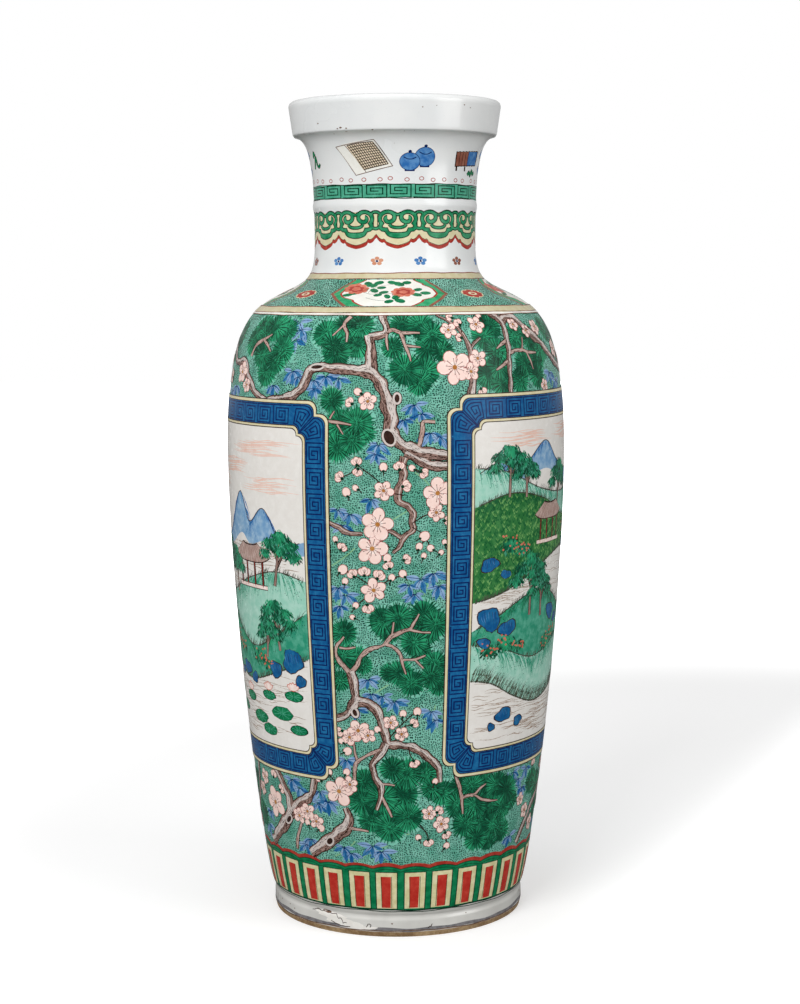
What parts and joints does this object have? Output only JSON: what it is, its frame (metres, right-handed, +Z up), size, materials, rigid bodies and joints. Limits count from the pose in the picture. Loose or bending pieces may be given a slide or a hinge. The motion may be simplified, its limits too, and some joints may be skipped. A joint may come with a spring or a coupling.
{
  "type": "rouleau vase",
  "caption": "Tall porcelain rouleau vase: tapering body, rounded shoulder, straight ribbed neck and dished rim, painted all over in green, blue and red enamels.",
  "frame": {"origin": "centre of the standing ring, on the surface that the vase stands on", "axes": "+Z up along the axis of the vase; -Y is the side that faces the camera; +X to its right"},
  "size_m": [0.1914, 0.1914, 0.46],
  "materials": {
    "green_enamel_body": "gloss, painted in enamels",
    "white_glaze": "gloss",
    "foot_porcelain": "glazed side, unglazed worn standing edge",
    "luting_slip": "matt"
  },
  "bodies": {
    "root": {"foot_ring": "foot_porcelain", "base_disc": "white_glaze", "base_coil": "luting_slip", "foot_lute": "luting_slip", "lower_body": "green_enamel_body", "waist_lute": "luting_slip", "upper_body": "green_enamel_body", "shoulder_lute": "luting_slip", "shoulder": "green_enamel_body", "neck_lute": "luting_slip", "neck": "white_glaze", "mouth_lute": "luting_slip", "mouth_rim": "white_glaze"}
  },
  "joints": []
}
